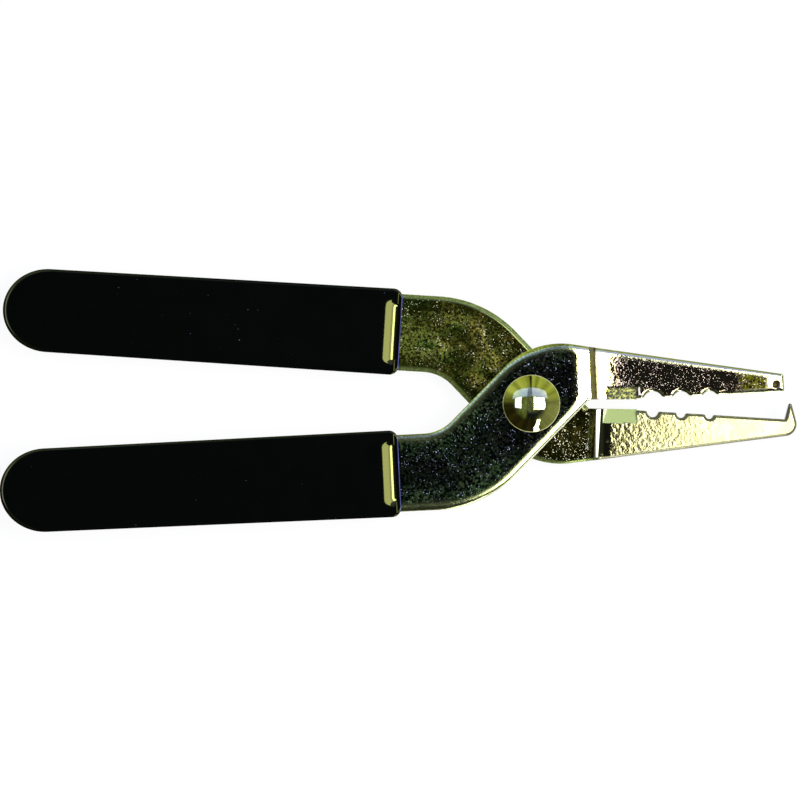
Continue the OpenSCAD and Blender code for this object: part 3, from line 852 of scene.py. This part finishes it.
rivet = dict(head=10.1, headHeight=2.6, rim=0.25, skirt=40, skirtEase=0.03, skirtDrop=0.04, footBreak=0.1,
             shank=6.0, tenon=4.0, tail=7.0, tailHeight=0.9, tailRound=0.5, tailBreak=0.08,
             tailDish=((1.6, 0.0), (1.2, 0.06), (0, 0.1)),     # (radius, height) of the peened hollow
             washer=10.0, washerThick=0.8, washerRound=0.2, washerClear=0.05)


def arcRow(centre, r, a, b, count):
    return [tuple(np.array(centre) + along(a + (b - a) * i / count) * r) for i in range(count + 1)]


def rivetProfile():
    s = rivet
    foot = headTop - s["headHeight"]
    domeHeight = s["headHeight"] - s["rim"]
    domeRound = (s["head"] ** 2 / 4 + domeHeight ** 2) / (2 * domeHeight)
    dome = arcRow((0, headTop - domeRound), domeRound, 90, 90 - s["skirt"], 40)
    edge = s["head"] / 2
    fall = math.tan(math.radians(s["skirt"]))
    domeEnd, domeLow = dome[-1]
    skirt = np.linspace(domeEnd, edge - s["skirtEase"], 6)[1:]
    dome += [(r, domeLow - (r - domeEnd) * fall) for r in skirt]
    rim = [(edge, dome[-1][1] - s["skirtDrop"]), (edge, foot + s["footBreak"]), (edge - s["footBreak"], foot),
           (s["shank"] / 2, foot)]
    tailEdge, tailTop = s["tail"] / 2, s["tailHeight"]
    washerTop = tailTop + s["washerThick"]
    lowEnd = [(s["shank"] / 2, washerTop), (s["tenon"] / 2, washerTop), (s["tenon"] / 2, tailTop),
              (tailEdge - s["tailBreak"], tailTop), (tailEdge, tailTop - s["tailBreak"])]
    tail = arcRow((tailEdge - s["tailRound"], s["tailRound"]), s["tailRound"], 0, -90, 8)
    return dome + rim + lowEnd + tail + list(s["tailDish"])


def washerProfile():
    s = rivet
    low, high = s["tailHeight"], s["tailHeight"] + s["washerThick"]
    inner, outer, r = s["tenon"] / 2 + s["washerClear"], s["washer"] / 2, s["washerRound"]
    ring = [(inner, low), (inner, high)]
    ring += arcRow((outer - r, high - r), r, 90, 0, 5) + arcRow((outer - r, low + r), r, 0, -90, 5)
    return ring + [(inner, low)]


lathe("pivotRivet", rivetProfile(), rivetSteel, "front_half", "pivot_rivet")
lathe("rivetWasher", washerProfile(), rearSteel, "front_half", "rivet_washer")


# dipped grips, as one rule for the skin and the cavity

grip = dict(length=70.2, lipWidth=15.25, buttWidth=14.6, thickness=4.0, edgeRoll=1.15, buttRoll=1.3,
            lipRoll=3.46, lipRadius=6.33, lipLedge=0.7, lipProud=0.02, lipStart=1.3, lipFade=1.3,
            edgeStart=0.6, corner=1.6, buttLength=8.0, steelWidth=arm["handleWidth"],
            steelThickness=arm["thick"], steelLength=arm["handleLen"] + arm["gripX"], steelRoll=0.05,
            weld=0.002, rows=400, columns=96)
lipBand = 0.18     # how far in from the open end the painted bluish reflection on the lip's edge reaches


def inputLabel(size):
    # lipWidth sets the tree's input Lip Width
    return "".join(" " + letter if letter.isupper() else letter for letter in size).title()


def buildGripTree():
    inputs = {"Geometry": ("NodeSocketGeometry", None)}
    for size, value in grip.items():
        inputs[inputLabel(size)] = ("NodeSocketInt" if isinstance(value, int) else "NodeSocketFloat", value)
    inputs["Material"] = ("NodeSocketMaterial", None)
    n, given, out = newGroup("dippedGrip", "GeometryNodeTree", inputs, {"Geometry": "NodeSocketGeometry"})

    def leg(long, short):
        # the other short side of a right triangle
        return n.math("SQRT", n.less(n.times(long, long), n.times(short, short)))

    sheet = n.put("GeometryNodeMeshGrid", {
        "Size X": 1.0, "Size Y": 1.0, "Vertices X": given["Rows"], "Vertices Y": given["Columns"]})
    spot = n.split(n.put("GeometryNodeInputPosition").outputs[0])
    row = n.times(n.plus(spot["X"], 0.5), 2.0)            # 0 to 1 is the skin, 1 to 2 the cavity
    inner = n.math("GREATER_THAN", row, 1.0)
    turn = n.times(n.plus(spot["Y"], 0.5), 2 * math.pi)

    def pick(skin, cavity):
        return n.blend(inner, skin, cavity)

    length = pick(given["Length"], given["Steel Length"])
    share = n.times(n.plus(n.math("COSINE", n.times(row, math.pi)), 1.0), 0.5)
    s = n.times(share, length)                               # distance from the open end
    lipHalf = n.times(pick(given["Lip Width"], given["Steel Width"]), 0.5)
    buttHalf = n.times(pick(given["Butt Width"], given["Steel Width"]), 0.5)
    half = n.plus(lipHalf, n.times(n.less(buttHalf, lipHalf), share))
    corner = pick(given["Corner"], 0.0)
    missing = n.most(n.less(corner, s), 0.0)
    cut = n.less(corner, leg(corner, missing))
    buttLen = pick(given["Butt Length"], n.times(given["Steel Width"], 0.5))
    past = n.math("DIVIDE", n.most(n.less(s, n.less(length, buttLen)), 0.0), buttLen)
    closing = leg(1.0, past)
    width = n.times(n.less(half, cut), closing)
    side = n.math("COSINE", turn)
    y = n.times(width, side)

    # thickness: flat in the middle, round at the long edges and the butt, thinning to the open end
    sideIn = n.times(closing, side)
    reach = n.math("SQRT", n.plus(n.times(sideIn, sideIn), n.times(past, past)))
    depth = n.times(n.less(1.0, n.math("MINIMUM", reach, 1.0)), half)
    lipShare = n.math("DIVIDE", n.less(depth, given["Lip Start"]), given["Lip Fade"])
    lipShare = n.math("MINIMUM", n.most(lipShare, 0.0), 1.0)      # the long edges stay full to the open end
    depth = n.plus(depth, pick(given["Edge Start"], 0.0))
    edgeRoll = pick(n.blend(past, given["Edge Roll"], given["Butt Roll"]), given["Steel Roll"])
    edge = n.less(1.0, n.math("MINIMUM", n.math("DIVIDE", depth, edgeRoll), 1.0))
    rounding = leg(1.0, edge)
    toLip = n.times(n.most(n.less(given["Lip Roll"], s), 0.0), lipShare)
    thinning = n.less(given["Lip Radius"], leg(given["Lip Radius"], toLip))
    skinThick = n.less(n.times(given["Thickness"], 0.5), thinning)
    steelHalf = n.times(given["Steel Thickness"], 0.5)
    ledge = n.math("LESS_THAN", s, given["Lip Ledge"])
    halfThick = pick(n.blend(ledge, skinThick, n.plus(steelHalf, given["Lip Proud"])), steelHalf)
    # 1 above, -1 below, 0 at the sides
    upper = n.math("SIGN", n.math("TRUNC", n.times(n.math("SINE", turn), 1000.0)))
    upper = n.times(upper, n.math("GREATER_THAN", row, 0.001))    # the tip is one point
    z = n.times(n.times(halfThick, rounding), upper)
    place = n.put("ShaderNodeCombineXYZ", {"X": n.times(s, -1.0), "Y": y, "Z": z}).outputs[0]
    shaped = n.put("GeometryNodeSetPosition", {"Geometry": sheet.outputs["Mesh"], "Position": place})
    welded = n.put("GeometryNodeMergeByDistance", {0: shaped.outputs[0], "Distance": given["Weld"]})
    whole = n.put("GeometryNodeRealizeInstances", {0: welded.outputs[0]})
    dressed = n.put("GeometryNodeSetMaterial", {0: whole.outputs[0], "Material": given["Material"]})
    n.join(dressed.outputs[0], out, 0)
    return n.tree


gripTree = buildGripTree()


def modifierInputs(modifier, values):
    for item in modifier.node_group.interface.items_tree:
        if item.item_type == "SOCKET" and item.in_out == "INPUT" and item.name in values:
            modifier[item.identifier] = values[item.name]


def buildGrip(name, rear, body, node):
    source = bpy.data.objects.new(name + "Source", bpy.data.meshes.new(name + "Source"))
    scene.collection.objects.link(source)
    modifier = source.modifiers.new("dippedGrip", "NODES")
    modifier.node_group = gripTree
    sizes = {inputLabel(size): value for size, value in grip.items()}
    modifierInputs(modifier, dict(sizes, Material=dippedVinyl))
    ready = source.evaluated_get(bpy.context.evaluated_depsgraph_get())
    made = bpy.data.meshes.new_from_object(ready)
    own = np.empty(len(made.vertices) * 3)
    made.vertices.foreach_get("co", own)
    own = own.reshape(-1, 3)
    lipEdge = np.clip(1 + own[:, 0] / lipBand, 0, 1)
    own += (arm["gripX"], -arm["handleOffset"], arm["gap"] / 2 + arm["thick"] / 2)
    faces = [tuple(p.vertices) for p in made.polygons]
    bpy.data.objects.remove(source)
    piece = addPiece(name, intoFrame(own, rear), faces, dippedVinyl, sharpAngle=20)
    markPoints(piece, "lipEdge", lipEdge)
    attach(piece, body)
    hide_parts(node)
    print(name, len(piece.data.vertices), "vertices")


buildGrip("frontGrip", False, "front_half", "front_grip")
buildGrip("rearGrip", True, "rear_half", "rear_grip")


# floor, lamps and camera

pale = dict(size=6.0, paper=(0.94, 0.94, 0.94, 1), white=(1, 1, 1, 1), seen=0.93)


def floorMaterial():
    # white to the camera and in reflections, but for a share of paper that takes the shadow
    material = bpy.data.materials.new("paleFloor")
    material.use_nodes = True
    n = Nodes(material.node_tree)
    n.tree.nodes.remove(n.tree.nodes["Principled BSDF"])
    rays = n.put("ShaderNodeLightPath").outputs
    seen = n.most(rays["Is Camera Ray"], n.most(rays["Is Glossy Ray"], rays["Is Transmission Ray"]))
    paper = n.put("ShaderNodeBsdfDiffuse", {"Color": pale["paper"]})
    white = n.put("ShaderNodeEmission", {"Color": pale["white"], "Strength": 1.0})
    mixed = n.put("ShaderNodeMixShader", {
        0: n.times(seen, pale["seen"]), 1: paper.outputs[0], 2: white.outputs[0]})
    n.join(mixed.outputs[0], n.tree.nodes["Material Output"], "Surface")
    return material


def buildFloor():
    size = pale["size"]
    corners = [(-size, -size, 0), (size, -size, 0), (size, size, 0), (-size, size, 0)]
    mesh = bpy.data.meshes.new("floor")
    mesh.from_pydata(corners, [], [(0, 1, 2, 3)])
    mesh.materials.append(floorMaterial())
    floor = bpy.data.objects.new("floor", mesh)
    scene.collection.objects.link(floor)


buildFloor()

# soft lamps as flat panels overhead: x and y range in metres, brightness and colour
panelHeight = 0.9
panels = dict(
    key=dict(x=(0.143, 0.49), y=(-0.3, 0.33), radiance=6.0, colour=(1, 1, 0.98)),
    keyDim=dict(x=(0.49, 0.64), y=(-0.3, 0.33), radiance=4.0, colour=(1, 1, 0.98)),
    keyEdge=dict(x=(0.64, 0.81), y=(-0.3, 0.33), radiance=22.0, colour=(1, 1, 1)),
    leftWindow=dict(x=(-1.07, -0.53), y=(-0.27, 0.36), radiance=4.2, colour=(0.45, 0.48, 1)),
    backLeft=dict(x=(-1.6, -0.2), y=(0.37, 1.07), radiance=0.9, colour=(0.30, 0.40, 1)),
    backMiddle=dict(x=(-0.2, 0.06), y=(0.37, 1.07), radiance=0.35, colour=(0.31, 0.40, 1)),
    backRight=dict(x=(0.06, 1.2), y=(0.37, 1.07), radiance=1.0, colour=(0.38, 0.42, 1)),
)
# a tall narrow window in front, to the right, leaning a little
doorway = dict(place=(0.385, -1.11, 0.45), size=(0.2, 0.8), lean=-24, radiance=4.0, colour=(1, 1, 1))
wattsPerArea = 4     # lamp power per square metre for a radiance of 1


def addLamp(name, place, size, look):
    data = bpy.data.lights.new(name, "AREA")
    data.shape = "RECTANGLE"
    data.size, data.size_y = size
    data.color = look["colour"]
    data.energy = look["radiance"] * size[0] * size[1] * wattsPerArea
    lamp = bpy.data.objects.new(name, data)
    lamp.location = place
    lamp.visible_camera = False
    scene.collection.objects.link(lamp)
    return lamp


def addPanels():
    for name, look in panels.items():
        (x0, x1), (y0, y1) = look["x"], look["y"]
        addLamp(name, ((x0 + x1) / 2, (y0 + y1) / 2, panelHeight), (x1 - x0, y1 - y0), look)
    upright = addLamp("doorway", doorway["place"], doorway["size"], doorway)
    facing = Vector((-doorway["place"][0], -doorway["place"][1], 0))
    leaning = Quaternion((0, 0, 1), math.radians(doorway["lean"]))
    upright.rotation_euler = (facing.to_track_quat("-Z", "Y") @ leaning).to_euler()


addPanels()


# the room round the lamps: dark overhead, lighter to the left, warm behind, with uneven walls
# a Range is where a colour starts and where it is full, along x, y or z of the direction;
# Uneven is the scale of the patches and their lowest and highest level
room = dict(overhead=(0.0075, 0.0100, 0.0145, 1), overheadRange=(0.5, 0.85), overheadUneven=(14.0, 0.5, 1.3),
            glow=(0.12, 0.15, 0.05, 1), glowRange=(-0.17, -0.28), front=(0.022, 0.019, 0.006, 1),
            back=(0.38, 0.42, 0.10, 1), backRange=(-0.1, 0.5), right=(0.20, 0.21, 0.10, 1),
            rightRange=(0.1, 0.7), pillarRange=(0.01, 0.09), wallUneven=(3.0, 0.62, 1.2),
            horizon=(0.42, 0.44, 0.34, 1), horizonRange=(0.14, 0.06),
            unevenDetail=3.0, unevenRange=(0.38, 0.62))


def buildWorld():
    world = bpy.data.worlds.new("studio")
    scene.world = world
    world.use_nodes = True
    n = Nodes(world.node_tree)
    sky = n.tree.nodes["Background"]
    direction = n.put("ShaderNodeTexCoord").outputs["Generated"]
    way = n.split(direction)
    flat = n.put("ShaderNodeCombineXYZ", {"X": way["X"], "Y": way["Y"]}).outputs[0]
    flat = n.put("ShaderNodeVectorMath", {0: flat}, operation="NORMALIZE").outputs[0]

    def part(axis, key):
        return n.ramp(way[axis], *room[key])

    def uneven(vector, key):
        scale, low, high = room[key]
        patches = n.ramp(n.noise(vector, scale, room["unevenDetail"]), *room["unevenRange"])
        return n.blend(patches, low, high)

    wall = n.colour(part("X", "rightRange"), room["front"], room["right"])
    wall = n.colour(part("Y", "backRange"), wall, room["back"])
    pillar = n.ramp(n.math("ABSOLUTE", n.split(flat)["X"]), *room["pillarRange"])
    wall = n.colour(pillar, room["front"], wall)
    glow = n.colour(part("X", "glowRange"), room["overhead"], room["glow"])
    overhead = part("Z", "overheadRange")
    colour = n.colour(overhead, wall, glow)
    level = n.blend(overhead, uneven(flat, "wallUneven"), uneven(direction, "overheadUneven"))
    horizon = part("Z", "horizonRange")
    n.join(n.colour(horizon, colour, room["horizon"]), sky, "Color")
    n.join(n.blend(horizon, level, 1.0), sky, "Strength")


buildWorld()

# the camera looks straight down on x, y; width is what it sees at height z, in mm
view = dict(x=-23.06, y=0.46, z=5.0, width=140.9, lens=135.0, sensor=36.0, turn=0.4, clip=(0.01, 50))


def buildCamera():
    data = bpy.data.cameras.new("photoCamera")
    data.lens = view["lens"]
    data.sensor_width = view["sensor"]
    data.clip_start, data.clip_end = view["clip"]
    camera = bpy.data.objects.new("photoCamera", data)
    distance = view["width"] * view["lens"] / view["sensor"]
    camera.location = (view["x"] * mm, view["y"] * mm, (view["z"] + distance) * mm)
    camera.rotation_euler = (0, 0, math.radians(view["turn"]))
    scene.collection.objects.link(camera)
    scene.camera = camera


buildCamera()
bpy.context.view_layer.update()
print("scene ready")
